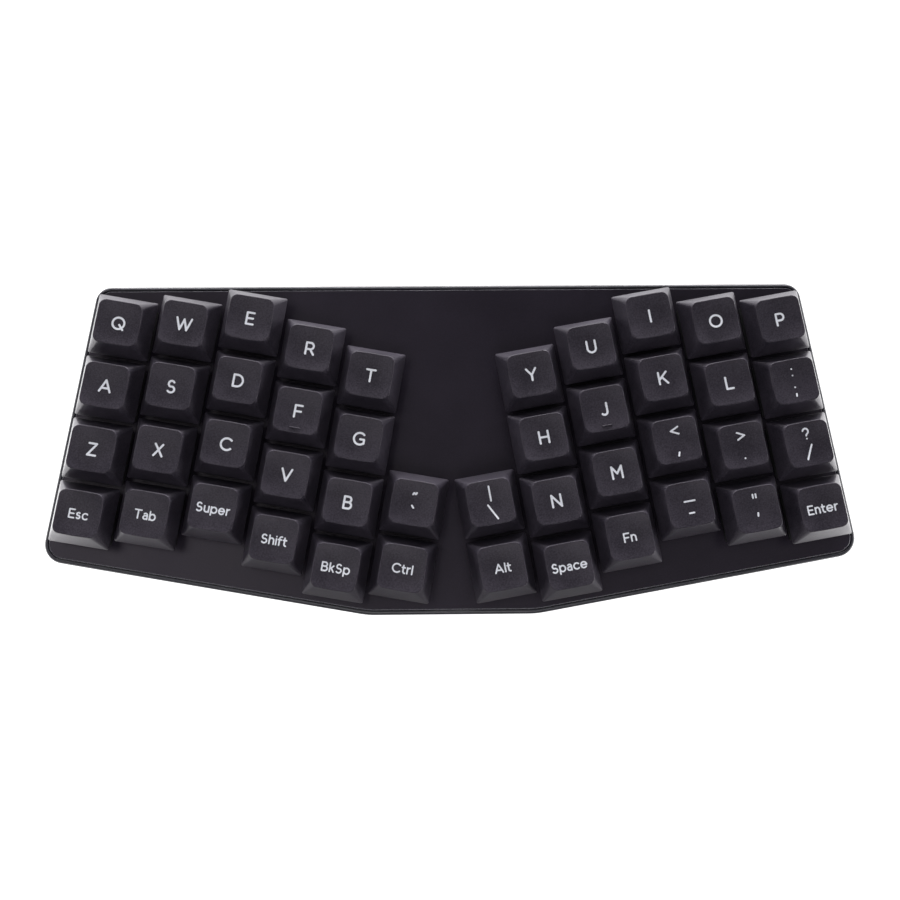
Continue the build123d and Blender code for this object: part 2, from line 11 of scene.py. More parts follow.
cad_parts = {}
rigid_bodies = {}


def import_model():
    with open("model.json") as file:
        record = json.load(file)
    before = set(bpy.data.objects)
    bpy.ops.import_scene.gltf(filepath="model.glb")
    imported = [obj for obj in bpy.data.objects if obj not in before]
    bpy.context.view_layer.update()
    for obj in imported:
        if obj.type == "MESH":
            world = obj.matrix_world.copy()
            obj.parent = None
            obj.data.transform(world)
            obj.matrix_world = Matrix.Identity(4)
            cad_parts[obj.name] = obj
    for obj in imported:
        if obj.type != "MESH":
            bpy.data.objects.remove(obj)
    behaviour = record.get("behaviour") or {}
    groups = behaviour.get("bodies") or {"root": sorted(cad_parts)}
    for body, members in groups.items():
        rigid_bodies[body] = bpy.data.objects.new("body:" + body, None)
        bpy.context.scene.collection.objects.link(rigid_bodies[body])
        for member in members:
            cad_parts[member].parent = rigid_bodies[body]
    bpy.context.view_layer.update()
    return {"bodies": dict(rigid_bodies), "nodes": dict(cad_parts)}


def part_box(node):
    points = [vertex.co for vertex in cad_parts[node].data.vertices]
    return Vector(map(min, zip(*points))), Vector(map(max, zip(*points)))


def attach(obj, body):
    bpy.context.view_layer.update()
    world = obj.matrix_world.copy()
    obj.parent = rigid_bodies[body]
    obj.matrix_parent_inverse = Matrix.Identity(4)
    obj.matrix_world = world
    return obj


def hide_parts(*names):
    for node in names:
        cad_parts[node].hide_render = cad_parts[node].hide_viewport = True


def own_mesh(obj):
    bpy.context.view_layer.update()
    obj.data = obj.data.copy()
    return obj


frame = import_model()

mm = 0.001
PLATE_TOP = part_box("top_plate")[1].z
HAND_ANGLE = radians(10)

# Keycap. Heights are above the top of the plate.
CAP_BASE = 6.5 * mm
CAP_HEIGHT = 6.9 * mm
CAP_BASE_WIDTH = 18.1 * mm
CAP_TOP_WIDTH = 12.85 * mm
CAP_BASE_CORNER = 0.6 * mm
CAP_TOP_CORNER = 2.1 * mm
CAP_WALL = 1.25 * mm
CAP_CEILING = 11.3 * mm
DISH_RADIUS = 34.0 * mm
TOP_EDGE_ROUNDING = 0.26 * mm
BASE_EDGE_ROUNDING = 0.12 * mm
SOCKET_RADIUS = 2.75 * mm
SOCKET_BOTTOM = 6.6 * mm
CROSS_TOP = 10.5 * mm
CROSS_REACH = 2.04 * mm
CROSS_HALF_WIDTHS = (0.69 * mm, 0.59 * mm)
STEPS_PER_SIDE = 8
STEPS_PER_CORNER = 8
DISH_RINGS = 9
ROUNDING_STEPS = 4
EDGE_STEPS = 12
EDGE_HOLD = 0.06 * mm
SIDE_LOOP_SHARES = (0.25, 0.5, 0.75, 0.97)
STEM_JOIN_DISTANCE = 0.001 * mm

# Homing bar. Its top is rounded up to an angle.
HOMING_KEYS = ("f", "j")
BAR_LENGTH = 3.2 * mm
BAR_WIDTH = 0.45 * mm
BAR_HEIGHT = 0.32 * mm
BAR_Y = -5.0 * mm
BAR_END_STEPS = 8
BAR_ROUNDING_STEPS = 4
BAR_ROUNDING_ANGLE = radians(80)

# Return spring. Its wire is coiled in the space that the CAD node keeps for it.
SPRING_DIAMETER = 4.36 * mm
SPRING_WIRE = 0.23 * mm
SPRING_TURNS = 13
SPRING_END_GAP = 0.02 * mm
STEPS_PER_TURN = 16
WIRE_SIDES = 6

# Lettering. A glyph is drawn in units of its capital height, measured between stroke centres.
LETTER_HEIGHT = 3.45 * mm
LETTER_STROKE = 0.62 * mm
LETTER_MIDDLE = (0.1 * mm, 0.0)
WORD_HEIGHT = 2.42 * mm
WORD_STROKE = 0.46 * mm
WORD_MIDDLE = (0.0, -0.2 * mm)
WORD_GAP = 0.3
SYMBOL_STROKE = 0.52 * mm
PRINT_CELL = 0.11 * mm
PRINT_LIFT = 0.02 * mm
PRINT_DEPTH = 0.06 * mm
ARC_STEP = 9

# Finishes. How much of the variation is fine grain, the rest being slow patches, and the spans
# of the noise over which the colour and the gloss change.
FINE_SHARE = 0.65
FINE_DETAIL = 3.0
SLOW_DETAIL = 2.0
TINT_SPAN = (0.38, 0.62)
GLOSS_SPAN = (0.35, 0.65)
COAT_ROUGHNESS = 0.2

# Worn edges with a painted highlight: how upright the normal of a slanting face is, from wall to slant
# and from slant to flat, the least share of wear on a bead, and the plate's back edge as a share of its
# front edge, the front's larger share being painted highlight.
SLANT_ABOVE_WALL = (0.4, 0.6)
SLANT_BELOW_FLAT = (0.8, 0.95)
WEAR_SPAN = (0.4, 0.6)
LEAST_WEAR = 0.3
BACK_HIGHLIGHT_SHARE = 0.3
HIGHLIGHT_FADE_SPAN = (-20 * mm, 20 * mm)

# Light. The floor's own glow, for the camera and in reflections, and the room's even light.
# The reflected glow holds a painted shadow of the keyboard, a dimmer oval in front of it, and painted
# light, a brighter strip on each side of it: how far the strip's two edges are from the middle, each as
# start and end.
FLOOR_GLOW_SEEN = 0.93
FLOOR_GLOW_REFLECTED = 1.5
FLOOR_PAINTED_SHADOW_GLOW = 0.05
FLOOR_PAINTED_SHADOW_MIDDLE = (0.0, -0.075)
FLOOR_PAINTED_SHADOW_REACH = (0.125, 0.15)
FLOOR_PAINTED_SHADOW_FADE = (0.4, 1.3)
FLOOR_PAINTED_LIGHT_GLOW = 2.6
FLOOR_PAINTED_LIGHT_INNER = (0.118, 0.132)
FLOOR_PAINTED_LIGHT_OUTER = (0.2, 0.32)
FLOOR_REACH = 2.5
FLOOR_DROP = 0.05 * mm
FLOOR_PAPER = (0.7, 0.7, 0.7, 1)
ROOM_LIGHT = 0.05
ROOM_TINT = (1, 0.97, 1, 1)

# Soft lights that look at the keyboard: azimuth (0 behind it, 90 on its right) and elevation in
# degrees, distance, width and height in metres, and brightness, where 1 is the white of the floor.
LIGHTS = {
    "back_low": (0, 5, 1.2, 1.6, 0.2, 37.0),
    "back_high": (0, 40, 1.2, 0.8, 0.4, 2.3),
    "left_low": (-90, 6, 1.1, 0.9, 0.2, 6.0),
    "right_low": (90, 6, 1.1, 0.9, 0.2, 13.0),
    "left_panel": (-90, 66, 1.0, 0.4, 0.5, 2.3),
    "right_panel": (90, 66, 1.0, 0.4, 0.5, 0.45),
    "front_panel": (180, 60, 1.0, 0.6, 0.35, 5.0),
}

# Camera, with its turns about X, Y and Z in degrees, and its lens and sensor in millimetres.
CAMERA_PLACE = (-0.0051, -0.04385, 0.3587)
CAMERA_TURNS = (7.11, -0.74, -0.52)
CAMERA_LENS = 45.64
CAMERA_SENSOR = 36.0
CAMERA_NEAR = 0.01

# The words on the keys. A key whose name is one letter shows that letter.
WORDS = {
    "esc": "Esc",
    "tab": "Tab",
    "super": "Super",
    "shift": "Shift",
    "backspace": "BkSp",
    "ctrl": "Ctrl",
    "alt": "Alt",
    "space": "Space",
    "fn": "Fn",
    "enter": "Enter",
}


def arc(centre_x, centre_y, radius_x, radius_y, start, end):
    """Points along an arc of an ellipse, from one angle to another, in degrees."""
    count = max(2, round(abs(end - start) / ARC_STEP)) + 1
    angles = [radians(start + (end - start) * step / (count - 1)) for step in range(count)]
    return [(centre_x + radius_x * cos(a), centre_y + radius_y * sin(a)) for a in angles]


# Each glyph: its width, then its strokes as lists of points.
GLYPHS = {
    "A": (0.92, [[(0, 0), (0.46, 1), (0.92, 0)], [(0.15, 0.3), (0.77, 0.3)]]),
    "B": (0.64, [
        [(0, 0.53), (0, 1), (0.34, 1), *arc(0.34, 0.765, 0.24, 0.235, 90, -90), (0, 0.53)],
        [(0, 0.53), (0.38, 0.53), *arc(0.38, 0.265, 0.26, 0.265, 90, -90), (0, 0), (0, 0.53)],
    ]),
    "C": (0.88, [arc(0.51, 0.5, 0.51, 0.5, 45, 315)]),
    "D": (0.8, [[(0, 0), (0, 1), (0.31, 1), *arc(0.31, 0.5, 0.49, 0.5, 90, -90), (0, 0)]]),
    "E": (0.6, [[(0.6, 1), (0, 1), (0, 0), (0.6, 0)], [(0, 0.51), (0.54, 0.51)]]),
    "F": (0.58, [[(0.6, 1), (0, 1), (0, 0)], [(0, 0.49), (0.53, 0.49)]]),
    "G": (0.9, [[*arc(0.5, 0.5, 0.5, 0.5, 48, 318), (0.88, 0.12), (0.88, 0.46), (0.54, 0.46)]]),
    "H": (0.76, [[(0, 0), (0, 1)], [(0.76, 0), (0.76, 1)], [(0, 0.51), (0.76, 0.51)]]),
    "I": (0.0, [[(0, 0), (0, 1)]]),
    "J": (0.5, [[(0.5, 1), *arc(0.24, 0.28, 0.26, 0.28, 0, -140)]]),
    "K": (0.72, [[(0, 0), (0, 1)], [(0.68, 1), (0, 0.34)], [(0.26, 0.6), (0.72, 0)]]),
    "L": (0.56, [[(0, 1), (0, 0), (0.56, 0)]]),
    "M": (0.84, [[(0, 0), (0, 1), (0.42, 0.4), (0.84, 1), (0.84, 0)]]),
    "N": (0.76, [[(0, 0), (0, 1), (0.76, 0), (0.76, 1)]]),
    "O": (1.02, [arc(0.51, 0.5, 0.51, 0.5, 0, 360)]),
    "P": (0.64, [[(0, 0), (0, 1), (0.36, 1), *arc(0.36, 0.71, 0.28, 0.29, 90, -90), (0, 0.42)]]),
    "Q": (1.02, [arc(0.51, 0.5, 0.51, 0.5, 0, 360), [(0.6, 0.38), (0.95, -0.03)]]),
    "R": (0.66, [
        [(0, 0), (0, 1), (0.36, 1), *arc(0.36, 0.72, 0.27, 0.28, 90, -90), (0, 0.44)],
        [(0.36, 0.44), (0.68, 0)],
    ]),
    "S": (0.64, [[*arc(0.32, 0.745, 0.25, 0.255, 38, 248), *arc(0.32, 0.265, 0.3, 0.265, 68, -142)]]),
    "T": (0.74, [[(0, 1), (0.74, 1)], [(0.37, 1), (0.37, 0)]]),
    "U": (0.72, [[(0, 1), (0, 0.36), *arc(0.36, 0.36, 0.36, 0.36, 180, 360), (0.72, 1)]]),
    "V": (0.84, [[(0, 1), (0.42, 0), (0.84, 1)]]),
    "W": (1.28, [[(0, 1), (0.34, 0), (0.64, 0.93), (0.94, 0), (1.28, 1)]]),
    "X": (0.72, [[(0, 0), (0.68, 1)], [(0.03, 1), (0.72, 0)]]),
    "Y": (0.8, [[(0, 1), (0.4, 0.44), (0.8, 1)], [(0.4, 0.44), (0.4, 0)]]),
    "Z": (0.7, [[(0.03, 1), (0.68, 1), (0, 0), (0.7, 0)]]),
    "a": (0.46, [
        [*arc(0.24, 0.47, 0.22, 0.23, 140, 0), (0.46, 0)],
        [(0.46, 0.42), (0.24, 0.41), *arc(0.22, 0.205, 0.22, 0.205, 90, 270), (0.3, 0.01), (0.46, 0.14)],
    ]),
    "b": (0.64, [[(0, 0), (0, 1)], arc(0.33, 0.35, 0.33, 0.35, 0, 360)]),
    "c": (0.56, [arc(0.35, 0.35, 0.35, 0.35, 48, 312)]),
    "e": (0.66, [[(0, 0.36), (0.66, 0.36), *arc(0.33, 0.35, 0.33, 0.35, 0, 318)]]),
    "f": (0.3, [
        [(0.08, 0), *arc(0.3, 0.78, 0.22, 0.24, 180, 95), (0.36, 1.02)],
        [(-0.06, 0.66), (0.32, 0.66)],
    ]),
    "h": (0.52, [[(0, 0), (0, 1)], [*arc(0.26, 0.42, 0.26, 0.28, 180, 0), (0.52, 0)]]),
    "i": (0.0, [[(0, 0), (0, 0.7)], [(0, 0.97), (0, 0.98)]]),
    "k": (0.46, [[(0, 0), (0, 1)], [(0.43, 0.7), (0, 0.26)], [(0.16, 0.42), (0.46, 0)]]),
    "l": (0.0, [[(0, 0), (0, 1)]]),
    "n": (0.52, [[(0, 0), (0, 0.7)], [*arc(0.26, 0.42, 0.26, 0.28, 180, 0), (0.52, 0)]]),
    "p": (0.64, [[(0, -0.27), (0, 0.7)], arc(0.33, 0.35, 0.33, 0.35, 0, 360)]),
    "r": (0.28, [[(0, 0), (0, 0.7)], [*arc(0.3, 0.36, 0.3, 0.33, 180, 100), (0.3, 0.69)]]),
    "s": (0.42, [[*arc(0.21, 0.53, 0.19, 0.17, 40, 250), *arc(0.21, 0.18, 0.21, 0.18, 70, -142)]]),
    "t": (0.3, [[(0.1, 0.92), *arc(0.3, 0.22, 0.2, 0.22, 180, 275)], [(-0.04, 0.66), (0.33, 0.66)]]),
    "u": (0.52, [[(0, 0.7), *arc(0.26, 0.28, 0.26, 0.28, 180, 360)], [(0.52, 0.7), (0.52, 0)]]),
}

# Pairs of symbols, placed in millimetres from the middle of the key.
SYMBOLS = {
    "backtick": [
        [(-0.6, 2.51), (-0.39, 2.96), (-0.15, 2.92), (0.06, 2.71), (0.27, 2.69), (0.45, 3.1)],
        [(-0.43, -0.74), (0.08, -1.34)],
    ],
    "backslash": [[(0.35, 4.75), (0.35, 0.5)], [(-0.8, -0.65), (1.45, -5.0)]],
    "semicolon": [[(0.0, 3.7)], [(0.0, 1.75)], [(0.0, -1.85)], [(0.0, -3.85), (-0.1, -4.5)]],
    "slash": [
        [*arc(-0.05, 3.75, 0.82, 0.85, 160, -65), (0.05, 2.7), (0.05, 2.5)],
        [(0.05, 1.6)],
        [(1.05, -0.35), (-1.0, -4.5)],
    ],
    "comma": [[(1.2, 4.0), (-1.05, 2.95), (1.2, 1.9)], [(0.3, -3.55), (-0.05, -4.55)]],
    "period": [[(-1.0, 4.0), (1.1, 2.95), (-1.0, 1.9)], [(-0.05, -3.8)]],
    "quote": [[(-0.38, 4.4), (-0.36, 3.42)], [(0.5, 4.4), (0.5, 3.42)], [(0.25, -1.15), (0.09, -1.99)]],
    "minus": [[(-1.3, 0.93), (1.75, 0.93)], [(-0.45, -2.6), (0.9, -2.6)]],
}


def key_names():
    """The keys' names, which are also their bodies and CAD nodes without the prefix."""
    return sorted(name[len("key_"):] for name in frame["bodies"] if name.startswith("key_"))


def key_matrix(name):
    """A key's place on the plate: the middle of its CAD node, and its hand's turn."""
    low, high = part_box("key_" + name)
    middle = (low + high) / 2
    turn = -HAND_ANGLE if middle.x < 0 else HAND_ANGLE
    return Matrix.Translation((middle.x, middle.y, PLATE_TOP)) @ Matrix.Rotation(turn, 4, "Z")


# Meshes

def rounded_square(half, corner):
    """Points round a square with rounded corners: the same number at any size, in the same order."""
    flat = half - corner
    side = [(half, flat * (2 * step / STEPS_PER_SIDE - 1)) for step in range(STEPS_PER_SIDE)]
    turns = [step / STEPS_PER_CORNER * pi / 2 for step in range(STEPS_PER_CORNER)]
    bend = [(flat + corner * cos(turn), flat + corner * sin(turn)) for turn in turns]
    points = side + bend
    loop = []
    for _ in range(4):
        loop += points
        points = [(-y, x) for x, y in points]
    return loop


def lofted_mesh(name, loops):
    """A closed mesh through loops of points, closed with a fan about the middle of each end loop."""
    mesh = bpy.data.meshes.new(name)
    shape = bmesh.new()
    rings = [[shape.verts.new(point) for point in loop] for loop in loops]
    count = len(loops[0])
    for ring, following in zip(rings, rings[1:]):
        for here in range(count):
            there = (here + 1) % count
            shape.faces.new((ring[here], ring[there], following[there], following[here]))
    for loop, ring in ((loops[0], rings[0]), (loops[-1], rings[-1])):
        hub = shape.verts.new(sum((Vector(point) for point in loop), Vector()) / count)
        for here in range(count):
            shape.faces.new((hub, ring[here], ring[(here + 1) % count]))
    bmesh.ops.recalc_face_normals(shape, faces=shape.faces)
    shape.to_mesh(mesh)
    shape.free()
    mesh.polygons.foreach_set("use_smooth", [True] * len(mesh.polygons))
    return mesh


def dish_height(x, y):
    """The height of the keycap's dished top over a point."""
    reach = hypot(1, 1) * (CAP_TOP_WIDTH / 2 - CAP_TOP_CORNER) + CAP_TOP_CORNER
    lowest = CAP_BASE + CAP_HEIGHT - (DISH_RADIUS - sqrt(DISH_RADIUS**2 - reach**2))
    return lowest + DISH_RADIUS - sqrt(DISH_RADIUS**2 - x * x - y * y)


def at_height(points, z):
    """Flat points lifted to one height."""
    return [(x, y, z) for x, y in points]


def edge_loop(base, top):
    """Where each straight line up the keycap's side meets the dish."""
    loop = []
    for (base_x, base_y), (top_x, top_y) in zip(base, top):
        share = 1.0
        for _ in range(EDGE_STEPS):
            x = base_x + (top_x - base_x) * share
            y = base_y + (top_y - base_y) * share
            share = (dish_height(x, y) - CAP_BASE) / CAP_HEIGHT
        loop.append(Vector((x, y, dish_height(x, y))))
    return loop


def cross_and_socket():
    """The cross hole's outline in the keycap's socket, and the socket's round outline beside it."""
    wide, narrow = CROSS_HALF_WIDTHS
    corner_points = [
        (CROSS_REACH, -wide), (CROSS_REACH, wide), (narrow, wide),
        (narrow, CROSS_REACH), (-narrow, CROSS_REACH), (-narrow, wide),
        (-CROSS_REACH, wide), (-CROSS_REACH, -wide), (-narrow, -wide),
        (-narrow, -CROSS_REACH), (narrow, -CROSS_REACH), (narrow, -wide),
    ]
    corners = len(corner_points)
    total = 4 * (STEPS_PER_SIDE + STEPS_PER_CORNER)
    per_edge = [total // corners + (1 if index < total % corners else 0) for index in range(corners)]
    cross = []
    for index, steps in enumerate(per_edge):
        start, end = Vector(corner_points[index]), Vector(corner_points[(index + 1) % corners])
        cross += [tuple(start.lerp(end, step / steps)) for step in range(steps)]
    socket = [(x * SOCKET_RADIUS / hypot(x, y), y * SOCKET_RADIUS / hypot(x, y)) for x, y in cross]
    return cross, socket


def keycap_mesh():
    """The whole keycap as one skin: from the dish's middle out, down, under and into the socket."""
    base = rounded_square(CAP_BASE_WIDTH / 2, CAP_BASE_CORNER)
    top = rounded_square(CAP_TOP_WIDTH / 2, CAP_TOP_CORNER)
    edge = edge_loop(base, top)

    def inside_edge(distance):
        """The loop on the dish that far inside the keycap's top edge."""
        shares = [1 - distance / hypot(point.x, point.y) for point in edge]
        flat = [(point.x * share, point.y * share) for point, share in zip(edge, shares)]
        return [Vector((x, y, dish_height(x, y))) for x, y in flat]

    def below_edge(distance):
        """The loop on the sides that far below the keycap's top edge."""
        feet = [Vector((x, y, CAP_BASE)) for x, y in base]
        return [point + (foot - point).normalized() * distance for point, foot in zip(edge, feet)]

    dish_rim = inside_edge(TOP_EDGE_ROUNDING)
    side_rim = below_edge(TOP_EDGE_ROUNDING)
    loops = []
    for ring in range(1, DISH_RINGS):
        share = ring / DISH_RINGS
        flat = [(point.x * share, point.y * share) for point in dish_rim]
        loops.append([(x, y, dish_height(x, y)) for x, y in flat])
    loops.append(inside_edge(TOP_EDGE_ROUNDING + EDGE_HOLD))
    for step in range(ROUNDING_STEPS + 1):
        t = step / ROUNDING_STEPS
        loops.append([
            a * (1 - t) ** 2 + b * 2 * t * (1 - t) + c * t * t
            for a, b, c in zip(dish_rim, edge, side_rim)
        ])
    loops.append(below_edge(TOP_EDGE_ROUNDING + EDGE_HOLD))
    side_foot = at_height(base, CAP_BASE + BASE_EDGE_ROUNDING)
    for share in SIDE_LOOP_SHARES:
        loops.append([a.lerp(Vector(b), share) for a, b in zip(side_rim, side_foot)])
    underside = rounded_square(CAP_BASE_WIDTH / 2 - BASE_EDGE_ROUNDING, CAP_BASE_CORNER)
    loops.append(side_foot)
    loops.append(at_height(underside, CAP_BASE))

    shrink = (CAP_BASE_WIDTH - CAP_TOP_WIDTH) / 2 * (CAP_CEILING - CAP_BASE) / CAP_HEIGHT
    inner_half = CAP_BASE_WIDTH / 2 - CAP_WALL
    loops.append(at_height(rounded_square(inner_half, CAP_BASE_CORNER), CAP_BASE))
    loops.append(at_height(rounded_square(inner_half - shrink, CAP_TOP_CORNER), CAP_CEILING))
    cross, socket = cross_and_socket()
    loops.append(at_height(socket, CAP_CEILING))
    loops.append(at_height(socket, SOCKET_BOTTOM))
    loops.append(at_height(cross, SOCKET_BOTTOM))
    loops.append(at_height(cross, CROSS_TOP))
    return lofted_mesh("keycap", loops)


def stem_mesh(name):
    """The stem of one key, taken from its CAD node and moved to the key's own origin."""
    shape = bmesh.new()
    shape.from_mesh(frame["nodes"]["key_" + name].data)
    shape.transform(key_matrix(name).inverted())
    bmesh.ops.remove_doubles(shape, verts=shape.verts, dist=STEM_JOIN_DISTANCE)
    reached = [min(shape.verts, key=lambda vert: vert.co.z)]
    inside = set(reached)
    for vert in reached:
        for edge in vert.link_edges:
            other = edge.other_vert(vert)
            if other not in inside:
                inside.add(other)
                reached.append(other)
    bmesh.ops.delete(shape, geom=[vert for vert in shape.verts if vert not in inside], context="VERTS")
    mesh = bpy.data.meshes.new("stem")
    shape.to_mesh(mesh)
    shape.free()
    return mesh


def homing_bar_mesh():
    """A small raised bar with round ends and a rounded top, rooted in the dish."""
    flat = BAR_LENGTH / 2 - BAR_WIDTH / 2
    root = dish_height(0, BAR_Y)
    loops = []
    for step in range(BAR_ROUNDING_STEPS + 1):
        tilt = step / BAR_ROUNDING_STEPS * BAR_ROUNDING_ANGLE
        radius = BAR_WIDTH / 2 * cos(tilt)
        z = root + BAR_HEIGHT - BAR_WIDTH / 2 + BAR_WIDTH / 2 * sin(tilt)
        angles = [radians(-90) + pi * index / BAR_END_STEPS for index in range(BAR_END_STEPS + 1)]
        right = [(flat + radius * cos(a), BAR_Y + radius * sin(a), z) for a in angles]
        left = [(-x, 2 * BAR_Y - y, z) for x, y, z in right]
        loops.append(right + left)
    loops.insert(0, [(x, y, root - BAR_HEIGHT) for x, y, z in loops[0]])
    return lofted_mesh("homing_bar", loops)


def spring_mesh():
    """One return spring with closed end turns, as a coil about the key's own vertical."""
    low, high = (corner.z - PLATE_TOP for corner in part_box("switch_springs"))
    start = low + SPRING_END_GAP + SPRING_WIRE / 2
    end = high - SPRING_END_GAP - SPRING_WIRE / 2
    middle_radius = (SPRING_DIAMETER - SPRING_WIRE) / 2
    turns = (0, 1, SPRING_TURNS - 1, SPRING_TURNS)
    heights = (start, start + SPRING_WIRE, end - SPRING_WIRE, end)
    sides = [2 * pi * side / WIRE_SIDES for side in range(WIRE_SIDES)]
    wire = [(SPRING_WIRE / 2 * cos(side), SPRING_WIRE / 2 * sin(side)) for side in sides]
    loops = []
    for step in range(SPRING_TURNS * STEPS_PER_TURN + 1):
        turn = step / STEPS_PER_TURN
        across, along = cos(2 * pi * turn), sin(2 * pi * turn)
        z = float(np.interp(turn, turns, heights))
        reaches = [(middle_radius + out, z + up) for out, up in wire]
        loops.append([(radius * across, radius * along, height) for radius, height in reaches])
    return lofted_mesh("return_spring", loops)


def ink_field(segments, half_width, origin, columns, rows):
    """How far inside the strokes each grid point is, negative outside."""
    x = origin[0] + np.arange(columns)[:, None] * PRINT_CELL
    y = origin[1] + np.arange(rows)[None, :] * PRINT_CELL
    nearest = np.full((columns, rows), 1.0)
    for (ax, ay), (bx, by) in segments:
        dx, dy = bx - ax, by - ay
        length = max(dx * dx + dy * dy, 1e-12)
        along = np.clip(((x - ax) * dx + (y - ay) * dy) / length, 0, 1)
        nearest = np.minimum(nearest, np.hypot(x - ax - along * dx, y - ay - along * dy))
    return half_width - nearest


def print_mesh(name, strokes, width):
    """A thin closed print along strokes with round ends, which follows the dish."""
    segments = [pair for stroke in strokes for pair in zip(stroke, stroke[1:] or stroke)]
    xs = [x for stroke in strokes for x, _ in stroke]
    ys = [y for stroke in strokes for _, y in stroke]
    margin = width / 2 + 2 * PRINT_CELL
    origin = (min(xs) - margin, min(ys) - margin)
    columns = int((max(xs) + margin - origin[0]) / PRINT_CELL) + 2
    rows = int((max(ys) + margin - origin[1]) / PRINT_CELL) + 2
    field = ink_field(segments, width / 2, origin, columns, rows)

    places = {}

    def place(start, end):
        """The number of the point where the outline crosses from one grid point to the next."""
        key = (min(start, end), max(start, end))
        if key not in places:
            (i, j), (k, m) = start, end
            share = 0.0 if start == end else field[i, j] / (field[i, j] - field[k, m])
            x = origin[0] + (i + (k - i) * share) * PRINT_CELL
            y = origin[1] + (j + (m - j) * share) * PRINT_CELL
            places[key] = (len(places), x, y)
        return places[key][0]

    cells = []
    for i in range(columns - 1):
        for j in range(rows - 1):
            corners = [(i, j), (i + 1, j), (i + 1, j + 1), (i, j + 1)]
            inked = [field[corner] > 0 for corner in corners]
            if not any(inked):
                continue
            cell = []
            for index, corner in enumerate(corners):
                following = (index + 1) % 4
                if inked[index]:
                    cell.append(place(corner, corner))
                if inked[index] != inked[following]:
                    cell.append(place(corner, corners[following]))
            cells.append(cell)

    count = len(places)
    points = [(x, y) for _, x, y in sorted(places.values())]
    heights = [dish_height(x, y) for x, y in points]
    top = [(x, y, z + PRINT_LIFT) for (x, y), z in zip(points, heights)]
    bottom = [(x, y, z - PRINT_DEPTH) for (x, y), z in zip(points, heights)]
    edges = {(a, b) for cell in cells for a, b in zip(cell, cell[1:] + cell[:1])}
    faces = cells + [[count + index for index in reversed(cell)] for cell in cells]
    faces += [[b, a, count + a, count + b] for a, b in sorted(edges) if (b, a) not in edges]
    mesh = bpy.data.meshes.new(name)
    mesh.from_pydata(top + bottom, [], faces)
    mesh.update()
    return mesh


def set_text(text, height, middle):
    """The strokes of a word or letter, centred on a point of the key."""
    width = sum(GLYPHS[letter][0] for letter in text) + WORD_GAP * (len(text) - 1)
    start_x = middle[0] - width * height / 2
    start_y = middle[1] - height / 2
    strokes = []
    for letter in text:
        glyph_width, glyph = GLYPHS[letter]
        for stroke in glyph:
            strokes.append([(start_x + x * height, start_y + y * height) for x, y in stroke])
        start_x += (glyph_width + WORD_GAP) * height
    return strokes


def legend_mesh(name):
    """The print on one key."""
    if len(name) == 1:
        strokes, width = set_text(name.upper(), LETTER_HEIGHT, LETTER_MIDDLE), LETTER_STROKE
    elif name in WORDS:
        strokes, width = set_text(WORDS[name], WORD_HEIGHT, WORD_MIDDLE), WORD_STROKE
    else:
        strokes = [[(x * mm, y * mm) for x, y in stroke] for stroke in SYMBOLS[name]]
        width = SYMBOL_STROKE
    return print_mesh("print_" + name, strokes, width)


# Materials

def colour(red, green, blue):
    """A colour given as it looks on a screen, 0 to 255, as linear light."""
    channels = [value / 255 for value in (red, green, blue)]
    return [c / 12.92 if c <= 0.04045 else ((c + 0.055) / 1.055) ** 2.4 for c in channels] + [1.0]


def level(nodes, links, value, span, levels, interpolation="SMOOTHSTEP"):
    """A value that goes from one level to another while the input crosses a span."""
    step = nodes.new("ShaderNodeMapRange")
    step.interpolation_type = interpolation
    step.inputs["From Min"].default_value = span[0]
    step.inputs["From Max"].default_value = span[1]
    step.inputs["To Min"].default_value = levels[0]
    step.inputs["To Max"].default_value = levels[1]
    links.new(value, step.inputs["Value"])
    return step.outputs["Result"]


def combine(nodes, links, operation, *values):
    """One maths node on values that are sockets or numbers."""
    node = nodes.new("ShaderNodeMath")
    node.operation = operation
    for socket, value in zip(node.inputs, values):
        if isinstance(value, (int, float)):
            socket.default_value = value
        else:
            links.new(value, socket)
    return node.outputs[0]


def noise(nodes, links, place, size, detail):
    """Noise with features of a size in metres."""
    texture = nodes.new("ShaderNodeTexNoise")
    texture.inputs["Scale"].default_value = 1 / size
    texture.inputs["Detail"].default_value = detail
    links.new(place, texture.inputs["Vector"])
    return texture.outputs["Fac"]


